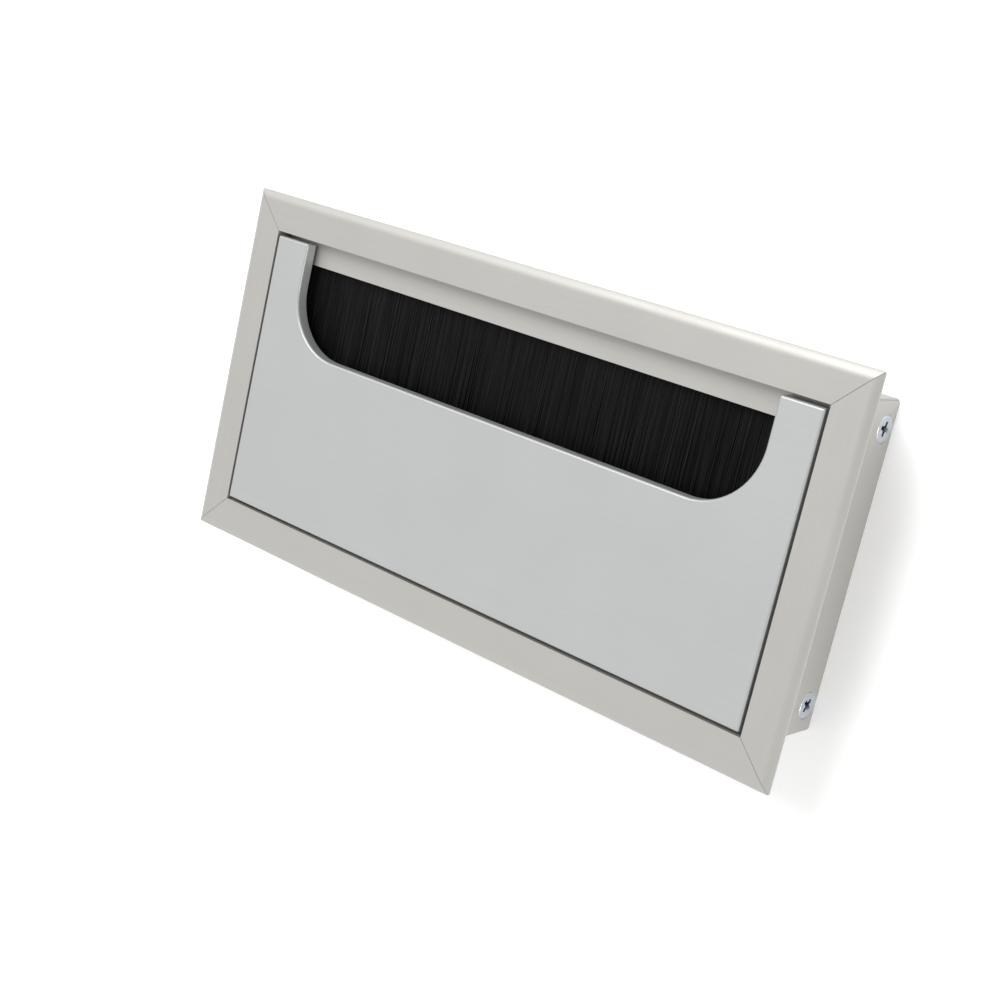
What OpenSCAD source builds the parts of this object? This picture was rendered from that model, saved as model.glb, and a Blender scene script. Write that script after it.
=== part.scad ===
// Rectangular cable grommet for a desktop: a mitred aluminium frame, a hinged
// lid with a cable notch, and a bristle strip that closes the notch.
// X runs along the long side, +Y towards the notch, +Z out of the visible face.
// Z = 0 is the lower edge of the body. All lengths are in millimetres.

/* [Frame] */
// Length of the flange, along X
flange_len = 160; // [150:1:200]
// Width of the flange, along Y
flange_wid = 80; // [78:1:100]
// Depth of the body below the desktop
body_depth = 22.8; // [21:0.1:40]
// Thickness of the flange that lies on the desktop
flange_t = 1.0; // [0.8:0.1:1.4]
// Width of the visible frame around the lid
face_w = 8.2; // [7.5:0.1:9]
// Thickness of the body's walls
wall_t = 1.7; // [1.2:0.1:2]
// How far the flange's outer edge is rounded down
edge_drop = 0.75; // [0.3:0.05:0.75]
// How far in from its edge the flange starts to round down
edge_run = 2.2; // [1:0.1:3]
// Radius of the flange's four corners, seen from above
flange_corner_r = 0.5; // [0.2:0.1:1]
// Radius of the body's four upright corners
body_corner_r = 0.8; // [0.3:0.1:1.2]
// Width of the hairline between two mitred rails
mitre_gap = 0.08; // [0.02:0.01:0.2]

/* [Lid] */
// Thickness of the lid
lid_t = 2.8; // [2.6:0.1:3]
// Gap between the lid and the end rails, with the lid in the middle
lid_side_gap = 0.55; // [0.5:0.05:1]
// How far the lid sits to the left, within its side play
lid_play = 0.2; // [0:0.05:0.25]
// Gap between the lid and the front rail, beside the hinge
lid_front_gap = 0.65; // [0.65:0.05:0.8]
// Gap between the lid and the rear rail
lid_rear_gap = 0.95; // [0.65:0.05:1.4]
// Width of the cable notch
notch_w = 123.5; // [80:0.5:128]
// Depth of the cable notch
notch_d = 23.7; // [18:0.1:26]
// Radius of the notch's two inner corners
notch_r = 14; // [4:0.5:16]

/* [Hinge] */
// Distance from the lid's front edge to the hinge axis
hinge_in = 6.0; // [5.8:0.1:6.5]
// Depth of the hinge axis below the face
hinge_drop = 2.6; // [2.6:0.1:2.7]
// Radius of the lid's knuckle
knuckle_r = 2.0; // [1.8:0.1:2.2]
// Radius of the hinge pins
pin_r = 1.0; // [0.8:0.1:1]
// Length of each hinge pin
pin_len = 10; // [8:1:14]

/* [Brush] */
// How far the ledge over the brush stands into the opening
ledge_w = 5.5; // [5.2:0.1:7]
// Depth of the ledge below the face
ledge_drop = 3.4; // [3.3:0.1:4]
// Thickness of the ledge and of the lip below the brush
ledge_t = 1.2; // [1:0.1:1.5]
// Height of the slot that holds the brush
slot_h = 5.0; // [4.6:0.1:5]
// How far the slot's mouth is lipped, above and below
lip_h = 0.6; // [0.4:0.1:0.6]
// Length of the bristles, from the channel's back to their tips
bristle_len = 36; // [30:1:38]
// Thickness of the bristles where they leave the channel
bristle_t = 3.4; // [2.8:0.1:3.4]
// Thickness of the bristles at their tips
bristle_tip_t = 2.6; // [2:0.1:3]

/* [Fasteners] */
// Distance from the frame screws to the opening's long sides
screw_in = 4.1; // [4:0.1:4.5]
// Height of the frame screws above the body's lower edge
screw_h = 3.1; // [3.05:0.05:4]
// Radius of a screw's head
screw_head_r = 2.75; // [2.5:0.05:2.75]
// Radius of a screw's shank
screw_r = 1.45; // [1.2:0.05:1.45]
// Length of a screw, with its head
screw_len = 13; // [10:1:16]
// Length of each leg of a corner key
key_leg = 15; // [10:1:20]
// Width of a corner key's legs
key_w = 2.8; // [2.4:0.1:3]
// Thickness of a corner key
key_t = 1.5; // [1:0.1:1.5]

/* [Hidden] */
$fn = 64;

// Heights
face_z = body_depth + flange_t;
ledge_z = face_z - ledge_drop;
slot_top_z = ledge_z - ledge_t;
slot_z = slot_top_z - slot_h;
brush_z = slot_z + slot_h / 2;
hinge_z = face_z - hinge_drop;

// Half sizes of the opening inside the frame, and of the body outside
open_x = flange_len / 2 - face_w;
open_y = flange_wid / 2 - face_w;
body_x = open_x + wall_t;
body_y = open_y + wall_t;

// Lid and hinge
lid_x = open_x - lid_side_gap;
lid_front_y = -open_y + lid_front_gap;
lid_rear_y = open_y - lid_rear_gap;
hinge_y = lid_front_y + hinge_in;
bush_clear = 0.05;
bush_wall = 0.5;
bush_collar_r = 1.9;
bush_collar_t = 0.25;

// Frame joints
rib_t = 1.0;
rib_d = 2.0;
key_clear = 0.05;
key_z = 9.05;
screw_y = open_y - screw_in;
seat_r = screw_head_r + 0.2;
seat_sink = 0.05;
head_rim = 0.15;
port_clear = 0.05;
port_wall = 1.2;
port_slot = 1.4;
recess_w = 0.75;
recess_span = 3.0;
recess_d = 1.1;

// Brush
channel_clear = 0.1;
channel_t = 0.5;
channel_lip = 0.7;
channel_x = 66;
wire_r = 0.6;
pad_r = 1.8;
pad_t = 0.5;

MITRE_REACH = 22;
TINY = 0.01;
ALUMINIUM = [0.77, 0.76, 0.74];
LID_SILVER = [0.78, 0.79, 0.79];
ZINC = [0.74, 0.77, 0.80];
STEEL = [0.62, 0.63, 0.64];
NYLON = [0.07, 0.07, 0.075];
BLACK = [0.06, 0.06, 0.065];

// ---- Profiles: x is the distance out from the opening, y is the height ----

// The round that takes the corner off the flange's outer edge
module edge_waste() {
    arc_r = (edge_run * edge_run + edge_drop * edge_drop) / (2 * edge_drop);
    difference() {
        translate([face_w - edge_run, face_z - edge_drop])
            square([edge_run + 1, edge_drop + 1]);
        translate([face_w - edge_run, face_z - arc_r])
            circle(r = arc_r, $fn = 180);
    }
}

// Two ribs inside the wall, which hold the corner keys
module key_ribs() {
    for (z = [key_z - key_clear - rib_t, key_z + key_t + key_clear])
        translate([-rib_d, z])
            square([rib_d + wall_t / 2, rib_t]);
}

module wall_profile() {
    difference() {
        union() {
            square([wall_t, face_z]);
            translate([0, body_depth])
                square([face_w, flange_t]);
            key_ribs();
        }
        edge_waste();
    }
}

// A slotted tube at the foot of a long rail, which takes the frame screws
module port_profile() {
    bore_r = screw_r + port_clear;
    outer_r = bore_r + port_wall;
    difference() {
        union() {
            translate([-screw_in, screw_h])
                circle(r = outer_r);
            translate([-screw_in, screw_h - outer_r])
                square([screw_in + wall_t / 2, 2 * outer_r]);
        }
        translate([-screw_in, screw_h])
            circle(r = bore_r);
        translate([-screw_in - outer_r - 1, screw_h - port_slot / 2])
            square([outer_r + 1, port_slot]);
    }
}

// The ledge that carries the lid's tabs, and the slot below it for the brush
module brush_seat_profile() {
    for (side = [1, -1])
        translate([0, brush_z])
            scale([1, side])
                translate([-ledge_w, slot_h / 2]) {
                    square([ledge_w + wall_t / 2, ledge_t]);
                    translate([0, -lip_h])
                        square([channel_lip, lip_h + ledge_t / 2]);
                }
}

// ---- Frame ----

// Extrudes a profile along X at the +Y side of a frame, and mitres its ends
module mitred_rail(half_len, half_wid) {
    outer = half_len - mitre_gap / sqrt(2);
    inner = outer - MITRE_REACH;
    intersection() {
        translate([0, half_wid - face_w, 0])
            rotate([90, 0, 90])
                linear_extrude(2 * half_len, center = true)
                    children();
        translate([0, 0, -1])
            linear_extrude(face_z + 2)
                polygon([[-outer, half_wid], [-inner, half_wid - MITRE_REACH],
                    [inner, half_wid - MITRE_REACH], [outer, half_wid]]);
    }
}

// What is dressed off four square corners, seen from above, to round them
module corner_waste(half_x, half_y, corner_r) {
    for (sx = [1, -1], sy = [1, -1])
        scale([sx, sy])
            translate([half_x - corner_r, half_y - corner_r])
                difference() {
                    square(corner_r + 1);
                    circle(r = corner_r);
                }
}

// Rounds the corners of the flange, and of the body that drops into the desktop
module dressed() {
    difference() {
        children();
        translate([0, 0, -1])
            linear_extrude(body_depth + 1)
                corner_waste(body_x, body_y, body_corner_r);
        translate([0, 0, body_depth - 1])
            linear_extrude(flange_t + 2)
                corner_waste(flange_len / 2, flange_wid / 2, flange_corner_r);
    }
}

module rear_rail() {
    color(ALUMINIUM)
        dressed()
            mitred_rail(flange_len / 2, flange_wid / 2) {
                wall_profile();
                port_profile();
                brush_seat_profile();
            }
}

module front_rail() {
    color(ALUMINIUM)
        dressed()
            mirror([0, 1, 0])
                mitred_rail(flange_len / 2, flange_wid / 2) {
                    wall_profile();
                    port_profile();
                }
}

module end_rail() {
    color(ALUMINIUM)
        difference() {
            dressed()
                rotate([0, 0, -90])
                    mitred_rail(flange_wid / 2, flange_len / 2)
                        wall_profile();
            for (side = [1, -1])
                translate([body_x, side * screw_y, screw_h])
                    rotate([0, -90, 0])
                        screw_seat();
            translate([open_x - 1, hinge_y, hinge_z])
                rotate([0, 90, 0])
                    cylinder(r = pin_r + bush_clear + bush_wall, h = wall_t + 2);
        }
}

module right_end_rail() {
    end_rail();
}

module left_end_rail() {
    mirror([1, 0, 0])
        end_rail();
}

// Countersunk hole that starts at the origin and runs along +Z
module screw_seat() {
    hole_r = screw_r + 0.15;
    cylinder(r1 = seat_r, r2 = hole_r, h = seat_r - hole_r);
    translate([0, 0, -1])
        cylinder(r = hole_r, h = wall_t + 2);
    translate([0, 0, -1])
        cylinder(r = seat_r, h = 1);
}

// Flat angle that lines up two rails, placed in the +X +Y corner
module corner_key() {
    edge_x = open_x - key_clear;
    edge_y = open_y - key_clear;
    color(STEEL)
        translate([0, 0, key_z])
            linear_extrude(key_t)
                polygon([[edge_x, edge_y], [edge_x - key_leg, edge_y],
                    [edge_x - key_leg, edge_y - key_w], [edge_x - key_w, edge_y - key_w],
                    [edge_x - key_w, edge_y - key_leg], [edge_x, edge_y - key_leg]]);
}

module corner_key_right_rear() {
    corner_key();
}

module corner_key_right_front() {
    mirror([0, 1, 0])
        corner_key();
}

module corner_key_left_rear() {
    mirror([1, 0, 0])
        corner_key();
}

module corner_key_left_front() {
    rotate([0, 0, 180])
        corner_key();
}

// Countersunk screw with a cross recess: its head is at the origin, and it runs along +Z
module cross_screw() {
    cone_h = screw_head_r - screw_r;
    tip_h = 1.8;
    color(ZINC)
        difference() {
            union() {
                cylinder(r = screw_head_r, h = head_rim);
                translate([0, 0, head_rim])
                    cylinder(r1 = screw_head_r, r2 = screw_r, h = cone_h);
                cylinder(r = screw_r, h = screw_len - tip_h);
                translate([0, 0, screw_len - tip_h])
                    cylinder(r1 = screw_r, r2 = screw_r / 4, h = tip_h);
            }
            for (turn = [0, 90])
                rotate([0, 0, turn])
                    translate([-recess_span / 2, -recess_w / 2, -TINY])
                        cube([recess_span, recess_w, recess_d]);
        }
}

// Places a frame screw in an end wall: sx and sy pick the corner
module frame_screw(sx, sy, turn) {
    translate([sx * (body_x - seat_sink), sy * screw_y, screw_h])
        rotate([0, -90 * sx, 0])
            rotate([0, 0, turn])
                cross_screw();
}

module frame_screw_right_rear() {
    frame_screw(1, 1, 12);
}

module frame_screw_right_front() {
    frame_screw(1, -1, 38);
}

module frame_screw_left_rear() {
    frame_screw(-1, 1, 65);
}

module frame_screw_left_front() {
    frame_screw(-1, -1, 27);
}

// ---- Lid and hinge ----

module notch_outline() {
    bottom = lid_rear_y - notch_d;
    for (side = [1, -1])
        translate([side * (notch_w / 2 - notch_r), bottom + notch_r])
            circle(r = notch_r, $fn = 128);
    translate([-notch_w / 2 + notch_r, bottom])
        square([notch_w - 2 * notch_r, notch_d + 1]);
    translate([-notch_w / 2, bottom + notch_r])
        square([notch_w, notch_d - notch_r + 1]);
}

module lid_plate() {
    translate([0, 0, face_z - lid_t])
        linear_extrude(lid_t)
            difference() {
                translate([-lid_x, lid_front_y])
                    square([2 * lid_x, lid_rear_y - lid_front_y]);
                notch_outline();
            }
}

// A rod along the hinge axis, from x = -half to x = half
module hinge_rod(radius, half) {
    translate([-half, hinge_y, hinge_z])
        rotate([0, 90, 0])
            cylinder(r = radius, h = 2 * half);
}

module lid() {
    color(LID_SILVER)
        translate([-lid_play, 0, 0])
            difference() {
                union() {
                    lid_plate();
                    hinge_rod(knuckle_r, lid_x);
                }
                hinge_rod(pin_r, lid_x + 1);
            }
}

module hinge_pin_right() {
    color(STEEL)
        translate([body_x - pin_len - 0.2, hinge_y, hinge_z])
            rotate([0, 90, 0])
                cylinder(r = pin_r, h = pin_len);
}

module hinge_pin_left() {
    mirror([1, 0, 0])
        hinge_pin_right();
}

module hinge_bush_right() {
    bush_r = pin_r + bush_clear + bush_wall;
    color(NYLON)
        translate([open_x - bush_collar_t, hinge_y, hinge_z])
            rotate([0, 90, 0])
                difference() {
                    union() {
                        cylinder(r = bush_collar_r, h = bush_collar_t);
                        cylinder(r = bush_r, h = bush_collar_t + wall_t);
                    }
                    translate([0, 0, -1])
                        cylinder(r = pin_r + bush_clear, h = wall_t + 3);
                }
}

module hinge_bush_left() {
    mirror([1, 0, 0])
        hinge_bush_right();
}

// Felt dot on the ledge, under the lid's tab
module lid_pad_right() {
    color(BLACK)
        translate([(notch_w / 2 + lid_x) / 2 - 1, open_y - ledge_w / 2, ledge_z])
            cylinder(r = pad_r, h = pad_t);
}

module lid_pad_left() {
    mirror([1, 0, 0])
        lid_pad_right();
}

// ---- Brush ----

// Extrudes a profile along X, where x is the distance out from the opening
module along_brush() {
    translate([0, open_y, brush_z])
        rotate([90, 0, 90])
            linear_extrude(2 * channel_x, center = true)
                children();
}

module brush_channel() {
    height = slot_h - 2 * channel_clear;
    depth = ledge_w - channel_lip - 2 * channel_clear;
    color(STEEL)
        along_brush()
            translate([-channel_clear - depth, 0])
                difference() {
                    translate([0, -height / 2])
                        square([depth, height]);
                    translate([-1, -height / 2 + channel_t])
                        square([depth - channel_t + 1, height - 2 * channel_t]);
                }
}

module wire_outline() {
    translate([-channel_clear - channel_t - 1.1, 0])
        circle(r = wire_r);
}

module brush_core_wire() {
    color(STEEL)
        along_brush()
            wire_outline();
}

// The bristles fold round the core wire inside the channel
module brush_bristles() {
    back = -channel_clear - channel_t - 0.05;
    color(BLACK)
        along_brush()
            difference() {
                polygon([[back, -bristle_t / 2], [back, bristle_t / 2],
                    [-ledge_w, bristle_t / 2], [back - bristle_len, bristle_tip_t / 2],
                    [back - bristle_len, -bristle_tip_t / 2], [-ledge_w, -bristle_t / 2]]);
                wire_outline();
            }
}

rear_rail();
front_rail();
left_end_rail();
right_end_rail();
corner_key_left_rear();
corner_key_left_front();
corner_key_right_rear();
corner_key_right_front();
frame_screw_left_rear();
frame_screw_left_front();
frame_screw_right_rear();
frame_screw_right_front();
lid();
hinge_pin_left();
hinge_pin_right();
hinge_bush_left();
hinge_bush_right();
lid_pad_left();
lid_pad_right();
brush_channel();
brush_core_wire();
brush_bristles();
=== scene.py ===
"""Looks for the desk grommet.

Everything is in metres, in the model's own frame.
"""

import math

import bmesh
import bpy
import numpy as np
from mathutils import Matrix, Vector


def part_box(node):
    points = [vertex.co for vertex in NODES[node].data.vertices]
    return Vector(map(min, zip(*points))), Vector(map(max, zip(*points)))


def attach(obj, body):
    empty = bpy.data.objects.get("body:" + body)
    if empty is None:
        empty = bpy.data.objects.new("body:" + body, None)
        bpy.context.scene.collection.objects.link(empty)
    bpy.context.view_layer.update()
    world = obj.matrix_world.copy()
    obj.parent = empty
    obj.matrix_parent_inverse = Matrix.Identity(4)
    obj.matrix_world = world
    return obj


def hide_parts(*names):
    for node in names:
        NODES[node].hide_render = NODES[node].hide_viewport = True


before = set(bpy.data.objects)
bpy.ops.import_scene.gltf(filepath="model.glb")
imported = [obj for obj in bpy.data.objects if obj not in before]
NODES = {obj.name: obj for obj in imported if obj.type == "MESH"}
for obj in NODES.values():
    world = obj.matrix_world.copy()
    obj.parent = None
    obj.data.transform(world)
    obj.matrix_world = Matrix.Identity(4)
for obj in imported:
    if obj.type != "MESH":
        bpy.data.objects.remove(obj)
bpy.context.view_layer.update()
MM = 0.001
SEED = 20731
SIDES = ("left", "right")
CORNERS = ("left_rear", "left_front", "right_rear", "right_front")


# ---- Meshes ----

CAD_MERGE, MESH_MERGE = 1e-6, 1e-7
FLAT_ANGLE = math.radians(0.6)
SHARP_ANGLE = math.radians(28)


def link_mesh(name, mesh):
    """Puts a mesh in the scene as an object."""
    obj = bpy.data.objects.new(name, mesh)
    bpy.context.scene.collection.objects.link(obj)
    return obj


def new_object(name, bm):
    """Turns a bmesh into a smooth-shaded object."""
    bmesh.ops.recalc_face_normals(bm, faces=bm.faces)
    for face in bm.faces:
        face.smooth = True
    mesh = bpy.data.meshes.new(name)
    bm.to_mesh(mesh)
    bm.free()
    return link_mesh(name, mesh)


def clean_copy(node):
    """A bmesh of a CAD node with its flat faces whole, for rounding."""
    bm = bmesh.new()
    bm.from_mesh(NODES[node].data)
    bmesh.ops.remove_doubles(bm, verts=bm.verts, dist=CAD_MERGE)
    bmesh.ops.dissolve_limit(
        bm, angle_limit=FLAT_ANGLE, verts=bm.verts, edges=bm.edges
    )
    return bm


def rounded(node, width, weight_of=None, segments=3, soft_bend=None):
    """A piece with the node's shape and its outward edges rounded.

    weight_of(edge) gives an edge's share of the width; without it every edge
    gets the whole width. soft_bend(edge) picks shallow bends that get it too.
    """
    bm = clean_copy(node)
    layer = bm.edges.layers.float.new("bevel_weight_edge")
    for edge in bm.edges:
        if edge.calc_face_angle(0) > SHARP_ANGLE:
            if edge.is_convex:
                edge[layer] = 1.0 if weight_of is None else weight_of(edge)
            edge.smooth = edge[layer] > 0
        elif soft_bend is not None and soft_bend(edge):
            edge[layer] = 1.0
    obj = new_object(node + "_finished", bm)
    bevel = obj.modifiers.new("edge_rounding", "BEVEL")
    bevel.limit_method = "WEIGHT"
    bevel.width = width
    bevel.segments = segments
    bevel.use_clamp_overlap = True
    bevel.miter_outer = "MITER_ARC"
    normals = obj.modifiers.new("normals", "WEIGHTED_NORMAL")
    normals.keep_sharp = True
    return obj


def join_rings(bm, rings):
    """Closes a surface through rings of vertices, without its two ends."""
    for low, high in zip(rings, rings[1:]):
        for i in range(len(low)):
            j = (i + 1) % len(low)
            bm.faces.new((low[i], low[j], high[j], high[i]))


def lathe(bm, profile, sides):
    """Adds a closed turned shape along Z.

    The profile's points are (height, radius), where the radius is a number or a
    function of the angle and the height.
    """
    rings = []
    for height, radius in profile:
        ring = []
        for i in range(sides):
            a = 2 * math.pi * i / sides
            r = radius(a, height) if callable(radius) else radius
            ring.append(bm.verts.new((r * math.cos(a), r * math.sin(a), height)))
        rings.append(ring)
    join_rings(bm, rings)
    bm.faces.new(rings[0])
    bm.faces.new(rings[-1])


def mark_sharp(mesh, degrees):
    """Shades a mesh smooth, except across edges that turn more than this."""
    bm = bmesh.new()
    bm.from_mesh(mesh)
    bmesh.ops.remove_doubles(bm, verts=bm.verts, dist=MESH_MERGE)
    for face in bm.faces:
        face.smooth = True
    for edge in bm.edges:
        edge.smooth = edge.calc_face_angle(0) < math.radians(degrees)
    bm.to_mesh(mesh)
    bm.free()


def finish_piece(obj, body, material, node):
    """Gives a piece its material and body, and hides the CAD node it stands for."""
    obj.data.materials.clear()
    obj.data.materials.append(material)
    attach(obj, body)
    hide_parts(node)


# ---- Materials ----

NOISE_LOW, NOISE_HIGH = 0.3, 0.7  # most of a noise's values lie between these


class Shader:
    """A node material on a Principled shader, with the object's own coordinates."""

    def __init__(self, name, roughness, metallic=0.0, specular=0.5):
        self.material = bpy.data.materials.new(name)
        self.material.use_nodes = True
        self.tree = self.material.node_tree
        self.bsdf = self.tree.nodes["Principled BSDF"]
        self.bsdf.inputs["Roughness"].default_value = roughness
        self.bsdf.inputs["Metallic"].default_value = metallic
        self.bsdf.inputs["Specular IOR Level"].default_value = specular
        self.coords = self.tree.nodes.new("ShaderNodeTexCoord").outputs["Object"]

    def link(self, output, socket):
        self.tree.links.new(output, socket)

    def noise(self, scale, detail=2.0, stretch=None, rough=0.5):
        """Noise of scale features per metre. stretch multiplies it along each axis."""
        coords = self.coords
        if stretch is not None:
            mapping = self.tree.nodes.new("ShaderNodeMapping")
            mapping.inputs["Scale"].default_value = stretch
            self.link(coords, mapping.inputs["Vector"])
            coords = mapping.outputs["Vector"]
        node = self.tree.nodes.new("ShaderNodeTexNoise")
        node.inputs["Scale"].default_value = scale
        node.inputs["Detail"].default_value = detail
        node.inputs["Roughness"].default_value = rough
        self.link(coords, node.inputs["Vector"])
        return node.outputs["Fac"]

    def cells(self, scale):
        """A random colour per cell, scale cells per metre."""
        node = self.tree.nodes.new("ShaderNodeTexVoronoi")
        node.inputs["Scale"].default_value = scale
        self.link(self.coords, node.inputs["Vector"])
        return node.outputs["Color"]

    def spread(self, value, low, high, out_low, out_high):
        """Maps a value from one range to another, held at the ends."""
        node = self.tree.nodes.new("ShaderNodeMapRange")
        node.inputs["From Min"].default_value = low
        node.inputs["From Max"].default_value = high
        node.inputs["To Min"].default_value = out_low
        node.inputs["To Max"].default_value = out_high
        self.link(value, node.inputs["Value"])
        return node.outputs["Result"]

    def product(self, a, b):
        node = self.tree.nodes.new("ShaderNodeMath")
        node.operation = "MULTIPLY"
        self.link(a, node.inputs[0])
        self.link(b, node.inputs[1])
        return node.outputs["Value"]

    def ramp(self, value, stops):
        """Colours by value. A stop is (place, (r, g, b))."""
        node = self.tree.nodes.new("ShaderNodeValToRGB")
        elements = node.color_ramp.elements
        while len(elements) < len(stops):
            elements.new(0.5)
        for element, (place, colour) in zip(elements, stops):
            element.position = place
            element.color = (*colour, 1.0)
        self.link(value, node.inputs["Fac"])
        return node.outputs["Color"]

    def two_tone(self, noise, dark, light):
        return self.ramp(noise, [(NOISE_LOW, dark), (NOISE_HIGH, light)])

    def mix(self, factor, a, b, blend="MIX"):
        """Mixes two colours. Each of a, b and factor is an output or a constant."""
        node = self.tree.nodes.new("ShaderNodeMix")
        node.data_type = "RGBA"
        node.blend_type = blend
        for value, index in ((factor, 0), (a, 6), (b, 7)):
            socket = node.inputs[index]
            if isinstance(value, bpy.types.NodeSocket):
                self.link(value, socket)
            else:
                socket.default_value = value if index == 0 else (*value, 1.0)
        return node.outputs[2]

    def darkened(self, colour, value, darkest, low=NOISE_LOW, high=NOISE_HIGH):
        """The colour times a grey that rises from darkest to white with the value."""
        grey = self.ramp(value, [(low, (darkest,) * 3), (high, (1.0,) * 3)])
        return self.mix(1.0, colour, grey, "MULTIPLY")

    def bump(self, height, distance, strength):
        """Adds a bump on top of those already there."""
        node = self.tree.nodes.new("ShaderNodeBump")
        node.inputs["Strength"].default_value = strength
        node.inputs["Distance"].default_value = distance
        self.link(height, node.inputs["Height"])
        previous = self.bsdf.inputs["Normal"]
        if previous.is_linked:
            self.link(previous.links[0].from_socket, node.inputs["Normal"])
        self.link(node.outputs["Normal"], previous)

    def colour(self, output):
        self.link(output, self.bsdf.inputs["Base Color"])

    def roughness(self, noise, least, most):
        """Roughness that follows a noise."""
        result = self.spread(noise, NOISE_LOW, NOISE_HIGH, least, most)
        self.link(result, self.bsdf.inputs["Roughness"])


def shade(colour, factor):
    return tuple(c * factor for c in colour)


def satin_aluminium(name, colour, along, grain):
    """Anodised aluminium: fine blasted grain, faint die lines along an axis, clouds."""
    s = Shader(name, roughness=0.42, metallic=0.5)
    clouds = s.noise(55, detail=3)
    lines = s.noise(
        2600, stretch=tuple(0.02 if axis == along else 1.0 for axis in "XYZ")
    )
    fine = s.noise(grain, rough=0.6)
    base = s.two_tone(clouds, shade(colour, 0.992), shade(colour, 1.008))
    base = s.darkened(base, lines, 0.972)
    s.colour(s.darkened(base, fine, 0.95))
    s.roughness(clouds, 0.44, 0.49)
    s.bump(fine, 0.02 * MM, 0.35)
    s.bump(lines, 0.006 * MM, 0.3)
    return s.material


def zinc_plate():
    """Bright zinc plating, a little blue, with faint patches, and its recess painted
    dark as shade, darker with depth.

    A screw's own Z is the depth below its head's face, and its axis is X = Y = 0.
    """
    s = Shader("zinc_plate", roughness=0.24, metallic=1.0)
    plating = s.ramp(
        s.noise(420, detail=3),
        [
            (0.3, (0.46, 0.51, 0.58)),
            (0.5, (0.56, 0.60, 0.66)),
            (0.7, (0.62, 0.63, 0.65)),
        ],
    )
    split = s.tree.nodes.new("ShaderNodeSeparateXYZ")
    s.link(s.coords, split.inputs[0])
    flat = s.tree.nodes.new("ShaderNodeCombineXYZ")
    s.link(split.outputs["X"], flat.inputs["X"])
    s.link(split.outputs["Y"], flat.inputs["Y"])
    reach = s.tree.nodes.new("ShaderNodeVectorMath")
    reach.operation = "LENGTH"
    s.link(flat.outputs[0], reach.inputs[0])
    # Painted shade fills the recess: within its reach, darker with depth, down to its
    # point
    inside = s.spread(reach.outputs["Value"], 1.50 * MM, 1.62 * MM, 1.0, 0.0)
    deep = s.spread(split.outputs["Z"], 0.08 * MM, 0.9 * MM, 0.0, 1.0)
    above = s.spread(split.outputs["Z"], 2.25 * MM, 2.4 * MM, 1.0, 0.0)
    painted_recess_shade = s.product(s.product(inside, deep), above)
    # Here the recess is painted near black, as painted shade
    s.colour(s.mix(painted_recess_shade, plating, (0.035, 0.045, 0.055)))
    s.roughness(s.noise(2500), 0.18, 0.32)
    s.bump(s.noise(5200), 0.01 * MM, 0.3)
    return s.material


def galvanised():
    """Galvanised strip: spangled crystals and dull patches."""
    s = Shader("galvanised_strip", roughness=0.4, metallic=1.0)
    tone = s.ramp(s.cells(520), [(0.0, (0.42, 0.43, 0.45)), (1.0, (0.62, 0.63, 0.65))])
    s.colour(s.darkened(tone, s.noise(140, detail=4), 0.85, low=0.4, high=0.65))
    s.roughness(s.noise(900), 0.3, 0.5)
    s.bump(s.noise(3000, detail=3), 0.01 * MM, 0.4)
    return s.material


def ground_steel():
    """Ground pin: fine rings around the X axis."""
    s = Shader("ground_pin_steel", roughness=0.2, metallic=1.0)
    rings = s.noise(9000, detail=1, stretch=(1.0, 0.03, 0.03))
    s.colour(s.two_tone(rings, (0.50, 0.50, 0.51), (0.66, 0.66, 0.67)))
    s.roughness(rings, 0.15, 0.28)
    s.bump(rings, 0.004 * MM, 0.4)
    return s.material


def black_nylon():
    """Moulded bushes: near black, with a faint cloudy tone and a fine sparked grain."""
    s = Shader("black_nylon", roughness=0.45, specular=0.45)
    clouds = s.noise(300, detail=3)
    s.colour(s.two_tone(clouds, (0.016, 0.016, 0.017), (0.024, 0.024, 0.026)))
    s.roughness(s.noise(2500), 0.38, 0.52)
    s.bump(s.noise(6000), 0.006 * MM, 0.3)
    return s.material


def black_felt():
    """Pressed fibres that run both ways, with a soft sheen."""
    s = Shader("black_felt", roughness=0.95, specular=0.2)
    s.bsdf.inputs["Sheen Weight"].default_value = 0.25
    s.bsdf.inputs["Sheen Roughness"].default_value = 0.5
    fibres = s.noise(5200, detail=3, stretch=(1.0, 0.35, 1.0))
    crossed = s.noise(5200, detail=3, stretch=(0.35, 1.0, 1.0))
    both = s.mix(0.5, fibres, crossed)
    s.colour(
        s.ramp(both, [(0.35, (0.006, 0.006, 0.007)), (0.70, (0.045, 0.045, 0.048))])
    )
    s.bump(both, 0.06 * MM, 0.6)
    return s.material


def bristle_nylon():
    """Black filament: its tone runs in long streaks, in broad darker bands."""
    s = Shader("bristle_nylon", roughness=0.42, specular=0.14)
    streaks = s.noise(4200, detail=1, stretch=(1.0, 0.012, 0.3))
    bands = s.noise(420, stretch=(1.0, 0.05, 0.5))
    tone = s.ramp(
        streaks,
        [
            (0.30, (0.0060, 0.0055, 0.0060)),
            (0.55, (0.0088, 0.0081, 0.0088)),
            (0.75, (0.0150, 0.0140, 0.0150)),
        ],
    )
    s.colour(s.darkened(tone, bands, 0.85))
    s.roughness(streaks, 0.34, 0.5)
    return s.material


FRAME_TONE, FRAME_GRAIN = (0.375, 0.366, 0.347), 7000
LID_TONE, LID_GRAIN = (0.382, 0.392, 0.389), 5200
frame_long = satin_aluminium("frame_aluminium_along_x", FRAME_TONE, "X", FRAME_GRAIN)
frame_end = satin_aluminium("frame_aluminium_along_y", FRAME_TONE, "Y", FRAME_GRAIN)
lid_metal = satin_aluminium("lid_aluminium_blasted", LID_TONE, "X", LID_GRAIN)
zinc = zinc_plate()
galvanised_steel = galvanised()
pin_steel = ground_steel()
nylon = black_nylon()
felt = black_felt()
bristle = bristle_nylon()


# ---- Frame and lid ----

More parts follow.
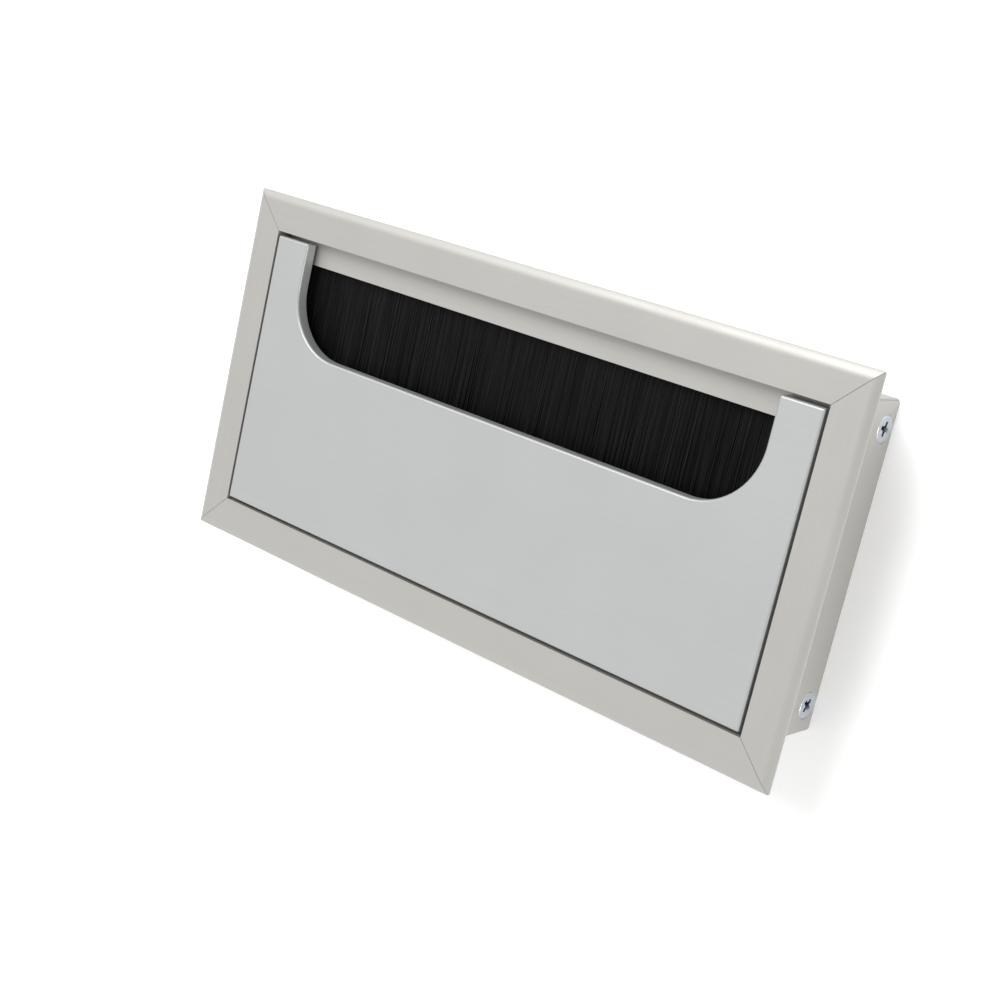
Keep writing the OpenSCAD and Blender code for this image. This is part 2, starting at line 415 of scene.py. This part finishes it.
FACE_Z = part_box("lid")[1].z
FACE_BAND = 0.05 * MM
RAIL_EDGE, RAIL_BEND = 0.16 * MM, 1.1 * MM
BEND_ANGLE, BEND_LENGTH = math.radians(10), 20 * MM
MITRE_SKEW, MITRE_TILT = 0.05, 0.3  # how far a mitre's normal may be from 45 degrees
LID_EDGE = 0.55 * MM
LID_UPRIGHT, LID_UNDER = 0.6, 0.3  # shares of LID_EDGE
UPRIGHT_RISE = 2 * MM


def at_face(edge):
    """Whether an edge lies in the top face that the frame and the lid share."""
    return min(v.co.z for v in edge.verts) > FACE_Z - FACE_BAND


def rise(edge):
    a, b = (v.co for v in edge.verts)
    return abs(a.z - b.z)


def rail_weight(edge):
    """The mitred ends keep a crisp edge, so that the joint stays a hairline."""
    for face in edge.link_faces:
        n = face.normal
        if abs(abs(n.x) - abs(n.y)) < MITRE_SKEW and abs(n.z) < MITRE_TILT:
            return 0.0
    return RAIL_EDGE / RAIL_BEND


def flange_bend(edge):
    """The long bend where the flange's flat face turns into its sloped rim."""
    bent = edge.calc_face_angle(0) > BEND_ANGLE
    return at_face(edge) and bent and edge.calc_length() > BEND_LENGTH


def lid_weight(edge):
    """The lid's visible top edges are rounded most."""
    if at_face(edge):
        return 1.0
    return LID_UPRIGHT if rise(edge) > UPRIGHT_RISE else LID_UNDER


for rail, metal in (
    ("rear_rail", frame_long),
    ("front_rail", frame_long),
    ("left_end_rail", frame_end),
    ("right_end_rail", frame_end),
):
    shape = rounded(rail, RAIL_BEND, rail_weight, soft_bend=flange_bend)
    finish_piece(shape, "frame", metal, rail)

shape = rounded("lid", LID_EDGE, lid_weight, segments=4)
finish_piece(shape, "lid_leaf", lid_metal, "lid")


# ---- Corner keys, hinge pins and bushes ----

KEY_EDGE, KEY_FLAT, KEY_RISE = 0.55 * MM, 0.22, 0.5 * MM
PIN_EDGE, BUSH_EDGE = 0.22 * MM, 0.07 * MM


def key_weight(edge):
    """A blanked key: its corners in plan are rounded more than its flat edges."""
    return 1.0 if rise(edge) > KEY_RISE else KEY_FLAT


for corner in CORNERS:
    key = "corner_key_" + corner
    shape = rounded(key, KEY_EDGE, key_weight, segments=4)
    finish_piece(shape, "frame", galvanised_steel, key)

for side in SIDES:
    pin, bush = "hinge_pin_" + side, "hinge_bush_" + side
    finish_piece(rounded(pin, PIN_EDGE), "lid_leaf", pin_steel, pin)
    finish_piece(rounded(bush, BUSH_EDGE), "frame", nylon, bush)


# ---- Frame screws ----

HEAD_R, CREST_R, ROOT_R = 2.75 * MM, 1.45 * MM, 1.12 * MM
SCREW_LEN, TIP_LEN, PITCH = 13 * MM, 1.8 * MM, 1.06 * MM
SCREW_SIDES, RECESS_SIDES = 48, 20
# The head's rim, in mm: depth below its face, and how far inside HEAD_R
RIM = (
    (0.06, 0.35),
    (0.02, 0.22),
    (0.03, 0.10),
    (0.09, 0.02),
    (0.15, 0.00),
    (0.22, 0.02),
)
CONE_STEPS, CONE_END, CONE_HOLLOW = 6, 1.62 * MM, 0.12 * MM
# The blunt point, in mm: how far before the screw's end, and the radius there
TIP = ((0.05, 0.22), (0.00, 0.08))
TURN_STEPS = 10
CONE_GAP, TIP_GAP = 0.1 * MM, 0.12 * MM  # between the thread's rings and the others
# The thread fades in from THREAD_START, and out towards THREAD_END
THREAD_START, THREAD_FADE = 2.2 * MM, 1.0 * MM
THREAD_END = SCREW_LEN - 0.2 * MM
RIDGE = 0.28  # half the width of the thread's ridge, in pitches
POINT = 0.28  # the core's radius at the point, as a share of ROOT_R
# The recess: an arm's half length, half width and depth at its mouth and its floor,
# and the depth and radius of its centre
RECESS_ARM = ((1.52 * MM, 0.40 * MM, -0.05 * MM), (0.80 * MM, 0.26 * MM, 1.75 * MM))
RECESS_CENTRE = (
    (-0.05 * MM, 0.78 * MM),
    (1.70 * MM, 0.58 * MM),
    (2.20 * MM, 0.05 * MM),
)
SCREW_SHARP = 38
# Degrees that each screw's recess is turned
SCREW_TURNS = {
    "right_rear": 12,
    "right_front": 38,
    "left_rear": 65,
    "left_front": 27,
}


def thread_radius(angle, height):
    """The radius of a pointed thread on a core that narrows at the tip."""
    phase = (height / PITCH - angle / (2 * math.pi)) % 1.0
    ridge = max(0.0, 1 - abs(phase - 0.5) / RIDGE)
    fade_in = min(1.0, max(0.0, (height - THREAD_START) / THREAD_FADE))
    fade_out = min(1.0, max(0.0, (THREAD_END - height) / TIP_LEN))
    core = ROOT_R
    if height >= SCREW_LEN - TIP_LEN:
        core = ROOT_R * (POINT + (1 - POINT) * fade_out)
    return core + (CREST_R - ROOT_R) * ridge * fade_in * fade_out


def screw_body():
    """A countersunk self-tapping screw without its recess, its head's face at z = 0."""
    profile = [(depth * MM, HEAD_R - inset * MM) for depth, inset in RIM]
    cone_start, cone_r = profile[-1]
    for i in range(1, CONE_STEPS + 1):
        t = i / CONE_STEPS
        hollow = CONE_HOLLOW * math.sin(math.pi * t)
        profile.append(
            (
                cone_start + t * (CONE_END - cone_start),
                cone_r - t * (cone_r - ROOT_R) - hollow,
            )
        )
    height = CONE_END + CONE_GAP
    while height < SCREW_LEN - TIP_GAP:
        profile.append((height, thread_radius))
        height += PITCH / TURN_STEPS
    profile += [(SCREW_LEN - before * MM, r * MM) for before, r in TIP]
    bm = bmesh.new()
    lathe(bm, profile, SCREW_SIDES)
    return new_object("screw_body", bm)


def recess_cutter():
    """Two crossed tapered blocks and a pointed centre, to cut a cross recess."""
    bm = bmesh.new()
    for turn in (0, 90):
        corners = []
        for half_length, half_width, z in RECESS_ARM:
            for sx, sy in ((-1, -1), (1, -1), (1, 1), (-1, 1)):
                p = Vector((sx * half_length, sy * half_width, z))
                p.rotate(Matrix.Rotation(math.radians(turn), 3, "Z"))
                corners.append(bm.verts.new(p))
        bm.faces.new(corners[3::-1])
        bm.faces.new(corners[4:])
        join_rings(bm, [corners[:4], corners[4:]])
    lathe(bm, RECESS_CENTRE, RECESS_SIDES)
    return new_object("screw_cutter", bm)


def screw_mesh():
    """The screw with its recess cut."""
    body, cutter = screw_body(), recess_cutter()
    cut = body.modifiers.new("recess", "BOOLEAN")
    cut.operation, cut.solver, cut.object = "DIFFERENCE", "EXACT", cutter
    cut.use_self = True
    graph = bpy.context.evaluated_depsgraph_get()
    mesh = bpy.data.meshes.new_from_object(body.evaluated_get(graph))
    for obj in (body, cutter):
        bpy.data.objects.remove(obj)
    mark_sharp(mesh, SCREW_SHARP)
    return mesh


screw = screw_mesh()
for corner, turn in SCREW_TURNS.items():
    node = "frame_screw_" + corner
    low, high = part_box(node)
    side = 1 if "right" in corner else -1
    mesh = screw.copy()
    mesh.transform(Matrix.Rotation(math.radians(turn), 4, "Z"))
    obj = link_mesh(node + "_finished", mesh)
    face_x = high.x if side > 0 else low.x
    head = Vector((face_x, (low.y + high.y) / 2, (low.z + high.z) / 2))
    lie = Matrix.Rotation(math.radians(-90 * side), 4, "Y")
    obj.matrix_world = Matrix.Translation(head) @ lie
    finish_piece(obj, "frame", zinc, node)


# ---- Felt dots ----

DOT_SIDES, DOT_STEPS = 64, 12
# The dot's rim: shares of its height and of its radius, up to where its top starts
DOT_RIM = ((0.0, 0.9), (0.06, 0.985), (0.5, 1.0), (0.82, 0.99), (0.94, 0.955))
DOT_TOP = (0.99, 0.89)
RIM_LUMP, TOP_DROP = 0.012 * MM, 0.014 * MM
TUBE_SIDES = 3
FIBRES, FIBRE_POINTS = 420, 5
FIBRE_R, FIBRE_LENGTH, FIBRE_BEND = 0.011 * MM, (0.25, 0.6), 0.9
FIBRE_LIFT, FIBRE_ARCH = 0.004 * MM, 0.022 * MM
# How far out a fibre may start, and reach, as shares of the dot's radius
FIBRE_START, FIBRE_LIMIT = 0.86, 0.93


def felt_dot(node, rng):
    """A punched felt dot: soft rim and uneven top. Its loose fibres are felt_nap's."""
    low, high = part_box(node)
    centre = (low + high) / 2
    radius, height = (high.x - low.x) / 2, high.z - low.z
    profile = [(t * height, r * radius) for t, r in (*DOT_RIM, DOT_TOP)]
    for i in range(1, DOT_STEPS):
        profile.append((height, DOT_TOP[1] * radius * (1 - i / DOT_STEPS)))
    bm = bmesh.new()
    rings = []
    for k, (z, r) in enumerate(profile):
        on_rim = k < len(DOT_RIM)
        ring = []
        for i in range(DOT_SIDES):
            a = 2 * math.pi * i / DOT_SIDES
            lump = RIM_LUMP * rng.standard_normal()
            drop = 0 if on_rim else -abs(TOP_DROP * rng.standard_normal())
            reach = r + (lump if on_rim else 0)
            place = Vector((reach * math.cos(a), reach * math.sin(a), z + drop))
            ring.append(bm.verts.new(place + Vector((centre.x, centre.y, low.z))))
        rings.append(ring)
    join_rings(bm, rings)
    bm.faces.new(rings[0])
    bm.faces.new(rings[-1])
    return new_object(node + "_finished", bm), centre, radius, high.z


def tubes(name, paths, radius, across):
    """Thin tubes along paths, which are an array (tube, point, xyz).

    radius is one number or one per tube. across is a unit direction square to
    every path, from which each ring is turned.
    """
    count, points = paths.shape[:2]
    ahead = np.empty_like(paths)
    ahead[:, 1:-1] = paths[:, 2:] - paths[:, :-2]
    ahead[:, 0] = paths[:, 1] - paths[:, 0]
    ahead[:, -1] = paths[:, -1] - paths[:, -2]
    up = np.cross(ahead, across)
    up /= np.linalg.norm(up, axis=2, keepdims=True)
    sides = np.arange(TUBE_SIDES)
    angles = 2 * np.pi * sides / TUBE_SIDES
    ring = (
        np.cos(angles)[:, None] * across
        + np.sin(angles)[:, None] * up[:, :, None, :]
    )
    size = np.reshape(radius, (-1, 1, 1, 1))
    verts = (paths[:, :, None, :] + size * ring).reshape(-1, 3)
    tube = np.arange(count) * points * TUBE_SIDES
    here = tube[:, None, None] + (np.arange(points - 1) * TUBE_SIDES)[:, None]
    after = (sides + 1) % TUBE_SIDES
    beyond = here + TUBE_SIDES
    quads = np.stack(
        [here + sides, here + after, beyond + after, beyond + sides], -1
    ).reshape(-1, 4)
    first = tube[:, None] + sides[::-1]
    last = tube[:, None] + (points - 1) * TUBE_SIDES + sides
    mesh = bpy.data.meshes.new(name)
    mesh.from_pydata(verts, [], [*quads.tolist(), *first.tolist(), *last.tolist()])
    mesh.shade_smooth()
    return link_mesh(name, mesh)


def felt_nap(name, centre, radius, top, rng):
    """Loose fibres on a felt dot: short arcs that lie on its top, inside its rim."""
    turn = rng.uniform(0, 2 * np.pi, FIBRES)
    reach = radius * FIBRE_START * np.sqrt(rng.uniform(0, 1, FIBRES))
    spot = np.stack([reach * np.cos(turn), reach * np.sin(turn)], -1)
    heading = rng.uniform(0, 2 * np.pi, FIBRES)
    bend = rng.normal(0, FIBRE_BEND, FIBRES)
    length = rng.uniform(*FIBRE_LENGTH, FIBRES) * MM
    limit = FIBRE_LIMIT * radius
    nudge = np.arange(2) * 1e-6  # keeps points apart where the limit stops a fibre
    paths = np.zeros((FIBRES, FIBRE_POINTS, 3))
    for k in range(FIBRE_POINTS):
        t = k / (FIBRE_POINTS - 1)
        if k:
            a = heading + bend * t
            step = (length / (FIBRE_POINTS - 1))[:, None]
            spot = spot + np.stack([np.cos(a), np.sin(a)], -1) * step
        away = np.linalg.norm(spot, axis=1, keepdims=True)
        spot = spot * np.minimum(1, limit / np.maximum(away, 1e-9)) + nudge * k
        paths[:, k, :2] = spot
        paths[:, k, 2] = FIBRE_ARCH * np.sin(np.pi * t)
    paths += np.array([centre.x, centre.y, top + FIBRE_LIFT])
    return tubes(name, paths, FIBRE_R, np.array([0.0, 0.0, 1.0]))


rng = np.random.default_rng(SEED)
for side in SIDES:
    node = "lid_pad_" + side
    dot, centre, radius, top = felt_dot(node, rng)
    finish_piece(dot, "frame", felt, node)
    nap = felt_nap(node + "_nap", centre, radius, top, rng)
    finish_piece(nap, "frame", felt, node)


# ---- Brush: folded channel, core wire and bristles ----

STRIP, BEND_R, LEAST_R = 0.5 * MM, 0.75 * MM, 0.05 * MM
STRIP_STEP = 0.5 * MM
BEND_STEPS = 6
FLAT_STEPS = (0, 0.12, 0.3, 0.5, 0.75)
CRIMP_PITCH, CRIMP_DEPTH = 4.4 * MM, 0.13 * MM
CRIMP_Y, CRIMP_REACH = 1.5 * MM, 1.3 * MM  # from the channel's mouth
CHANNEL_SHARP = 50
WIRE_EDGE = 0.15 * MM


def channel_outline(low, high, inset):
    """The strip's section, open towards the front, from its top to its bottom."""
    r = max(BEND_R - inset, LEAST_R)
    y0, y1 = low.y, high.y - inset
    z0, z1 = low.z + inset, high.z - inset
    run = y1 - r - y0
    turn = 90 / BEND_STEPS
    points = [(y0 + run * t, z1) for t in FLAT_STEPS]
    for k in range(BEND_STEPS + 1):
        a = math.radians(90 - turn * k)
        points.append((y1 - r + r * math.cos(a), z1 - r + r * math.sin(a)))
    for k in range(BEND_STEPS + 1):
        a = math.radians(-turn * k)
        points.append((y1 - r + r * math.cos(a), z0 + r + r * math.sin(a)))
    points += [(y0 + run * t, z0) for t in FLAT_STEPS[::-1]]
    return points


def channel_piece(node):
    """The folded strip: rounded bends, and shallow crimps that grip the bristles."""
    low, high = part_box(node)
    inner = channel_outline(low, high, STRIP)
    outline = channel_outline(low, high, 0.0) + inner[::-1]
    mid_z = (low.z + high.z) / 2
    steps = int((high.x - low.x) / STRIP_STEP)
    bm = bmesh.new()
    rings = []
    for i in range(steps + 1):
        x = low.x + (high.x - low.x) * i / steps
        wave = max(0.0, math.cos(2 * math.pi * x / CRIMP_PITCH)) ** 2
        ring = []
        for y, z in outline:
            near = max(0.0, 1 - abs(y - low.y - CRIMP_Y) / CRIMP_REACH)
            press = CRIMP_DEPTH * wave * near
            ring.append(bm.verts.new((x, y, z - math.copysign(press, z - mid_z))))
        rings.append(ring)
    join_rings(bm, rings)
    for ring in (rings[0], rings[-1]):
        for i in range(len(inner) - 1):
            bm.faces.new((ring[i], ring[i + 1], ring[-2 - i], ring[-1 - i]))
    obj = new_object(node + "_finished", bm)
    mark_sharp(obj.data, CHANNEL_SHARP)
    return obj


for node, shape in (
    ("brush_channel", channel_piece("brush_channel")),
    ("brush_core_wire", rounded("brush_core_wire", WIRE_EDGE)),
):
    finish_piece(shape, "frame", galvanised_steel, node)


BRUSH_PARTS = 6
FILAMENT_R, FILAMENT_PITCH, LAYERS = 0.088 * MM, 0.186 * MM, 6
FOLD_LEAST, FOLD_MOST = 0.70 * MM, 1.60 * MM
FOLD_TURNS = np.radians([90, 45, 0, -45, -90])
MOUTH_Y = 26.3 * MM  # where the legs leave the channel
LEG_Y = (3.0 * MM, 13.0 * MM)  # between the tips and the mouth
# A leg's height from the wire's middle, in mm: the inner layer's, and how much more
# the outer layer's is
TIP_Z, ROOT_Z = (0.05, 1.16), (0.10, 1.50)
TIP_LIMITS = (0.02 * MM, 1.21 * MM)
# In mm, how much filaments differ: to the side at the tip, to the side on the way,
# in height, and in length (the shape and scale of a gamma draw)
LEAN, CURL, STRAY, SHORT = 0.16, 0.05, 0.04, (2.0, 0.09)
# Tufts that lean together: how far, and two wave numbers per metre
SWAY, SWAY_WAVES = 0.22 * MM, (900, 341)
SCATTER = 0.4  # in pitches along the brush
THICKNESS = (0.86, 1.04)  # in FILAMENT_R
END_MARGIN = 1.2  # in FILAMENT_R


def bristle_paths(low, high, wire_y, wire_z, rng):
    """Filaments that each fold round the core wire, so that both legs run out.

    The legs lie flat and close, lean a little, and end unevenly. Gives the paths,
    the filaments' radii, and where they are along the brush.
    """
    columns = int((high.x - low.x - 4 * FILAMENT_R) / FILAMENT_PITCH)
    x = low.x + 2 * FILAMENT_R + (np.arange(columns)[:, None] + 0.5) * FILAMENT_PITCH
    scatter = rng.uniform(-SCATTER, SCATTER, (columns, LAYERS))
    x = (x + scatter * FILAMENT_PITCH).reshape(-1)
    layer = np.tile((np.arange(LAYERS) + 0.5) / LAYERS, columns)
    layer = np.clip(layer + rng.uniform(-0.5, 0.5, layer.size) / LAYERS, 0, 1)
    stations = np.array([low.y, *LEG_Y, MOUTH_Y])

    def leg(side):
        """From the tip to the mouth, above the wire or below it."""
        fast, slow = SWAY_WAVES
        lean = rng.normal(0, LEAN, x.size) * MM
        lean += SWAY * np.sin(x * fast + side) * np.sin(x * slow + 2 * side)
        curl = rng.normal(0, CURL, x.size) * MM
        tip_z = (TIP_Z[0] + TIP_Z[1] * layer) * MM
        tip_z = np.clip(tip_z + rng.normal(0, STRAY, x.size) * MM, *TIP_LIMITS)
        root_z = (ROOT_Z[0] + ROOT_Z[1] * layer) * MM
        short = rng.gamma(*SHORT, x.size) * MM
        points = np.zeros((x.size, stations.size, 3))
        for k, y in enumerate(stations):
            t = (MOUTH_Y - y) / (MOUTH_Y - low.y)
            points[:, k, 0] = x + lean * t + curl * math.sin(math.pi * t)
            points[:, k, 1] = y + (short if k == 0 else 0)
            points[:, k, 2] = wire_z + side * (root_z + (tip_z - root_z) * t)
        return points

    upper, lower = leg(1.0), leg(-1.0)
    fold_z = FOLD_LEAST + layer * (FOLD_MOST - FOLD_LEAST)
    fold_y = FOLD_LEAST + layer * (high.y - wire_y - FILAMENT_R - FOLD_LEAST)
    back = np.zeros((x.size, FOLD_TURNS.size, 3))
    for k, a in enumerate(FOLD_TURNS):
        back[:, k, 0] = x
        back[:, k, 1] = wire_y + fold_y * math.cos(a)
        back[:, k, 2] = wire_z + fold_z * math.sin(a)
    paths = np.concatenate([upper, back, lower[:, ::-1]], axis=1)
    inside = END_MARGIN * FILAMENT_R
    paths[:, :, 0] = np.clip(paths[:, :, 0], low.x + inside, high.x - inside)
    middle = stations.size + FOLD_TURNS.size // 2
    radius = FILAMENT_R * rng.uniform(*THICKNESS, x.size)
    return paths, radius, paths[:, middle, 0]


low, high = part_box("brush_bristles")
wire_low, wire_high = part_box("brush_core_wire")
wire_y, wire_z = (wire_low.y + wire_high.y) / 2, (wire_low.z + wire_high.z) / 2
paths, filament, along = bristle_paths(low, high, wire_y, wire_z, rng)
order = np.array_split(np.argsort(along, kind="stable"), BRUSH_PARTS)
for index, chosen in enumerate(order, 1):
    tuft = tubes(
        f"brush_bristles_{index}",
        paths[chosen],
        filament[chosen],
        np.array([1.0, 0.0, 0.0]),
    )
    finish_piece(tuft, "frame", bristle, "brush_bristles")


# ---- Camera, lights and floor ----

CAMERA_PLACE = (0.203739, 0.067413, 0.290024)
CAMERA_TURN = (-2.57094, 38.53660, 16.23157)
FLOOR_DROP, FLOOR_HALF = 0.02 * MM, 3.0
FLOOR_GLOW = 0.15

scene = bpy.context.scene
camera_data = bpy.data.cameras.new("camera")
camera_data.lens = 60.681
camera_data.sensor_width = 36.0
camera_data.clip_start = 0.01
camera_data.clip_end = 20
camera = bpy.data.objects.new("camera", camera_data)
camera.location = CAMERA_PLACE
camera.rotation_euler = [math.radians(a) for a in CAMERA_TURN]
scene.collection.objects.link(camera)
scene.camera = camera
scene.view_settings.view_transform = "Standard"


def floor():
    """A plain pale floor just under the body."""
    bm = bmesh.new()
    bmesh.ops.create_grid(bm, x_segments=8, y_segments=8, size=FLOOR_HALF)
    obj = new_object("studio_floor", bm)
    obj.location = (0, 0, -FLOOR_DROP)
    s = Shader("studio_floor", roughness=0.75, specular=0.2)
    s.colour(s.two_tone(s.noise(6), (0.905, 0.905, 0.90), (0.92, 0.92, 0.92)))
    s.bsdf.inputs["Emission Color"].default_value = (1.0, 1.0, 1.0, 1.0)
    s.bsdf.inputs["Emission Strength"].default_value = FLOOR_GLOW
    obj.data.materials.append(s.material)


def softbox(name, location, target, size, power):
    """A rectangular area light that faces its target."""
    data = bpy.data.lights.new(name, "AREA")
    data.shape = "RECTANGLE"
    data.size, data.size_y = size
    data.energy = power
    obj = bpy.data.objects.new(name, data)
    obj.location = location
    aim = Vector(target) - Vector(location)
    obj.rotation_euler = aim.to_track_quat("-Z", "Y").to_euler()
    scene.collection.objects.link(obj)


def soft_surroundings(even, glows):
    """A white surround of even strength, with soft glows.

    A glow is (direction, strength, the cosine where it starts), and it is full at
    its direction.
    """
    world = bpy.data.worlds.new("studio")
    world.use_nodes = True
    tree = world.node_tree
    coords = tree.nodes.new("ShaderNodeTexCoord")
    total = None
    for direction, strength, edge in glows:
        dot = tree.nodes.new("ShaderNodeVectorMath")
        dot.operation = "DOT_PRODUCT"
        dot.inputs[1].default_value = Vector(direction).normalized()
        tree.links.new(coords.outputs["Generated"], dot.inputs[0])
        glow = tree.nodes.new("ShaderNodeMapRange")
        glow.interpolation_type = "SMOOTHSTEP"
        glow.inputs["From Min"].default_value = edge
        glow.inputs["From Max"].default_value = 1.0
        glow.inputs["To Max"].default_value = strength
        tree.links.new(dot.outputs["Value"], glow.inputs["Value"])
        add = tree.nodes.new("ShaderNodeMath")
        add.operation = "ADD"
        tree.links.new(glow.outputs["Result"], add.inputs[0])
        if total is None:
            add.inputs[1].default_value = even
        else:
            tree.links.new(total, add.inputs[1])
        total = add.outputs["Value"]
    background = tree.nodes["Background"]
    background.inputs["Color"].default_value = (1.0, 1.0, 1.0, 1.0)
    tree.links.new(total, background.inputs["Strength"])
    scene.world = world


floor()
TARGET = (0, 0, 0.01)
softbox("key_light", (-0.5, 1.3, 1.8), TARGET, (1.4, 1.4), 56.0)
softbox("side_light", (2.2, -0.6, 0.4), TARGET, (1.5, 0.6), 32.0)
soft_surroundings(0.45, [((0, -1, 0.35), 0.78, 0.2), ((-1, 0, 0.35), 0.57, 0.2)])
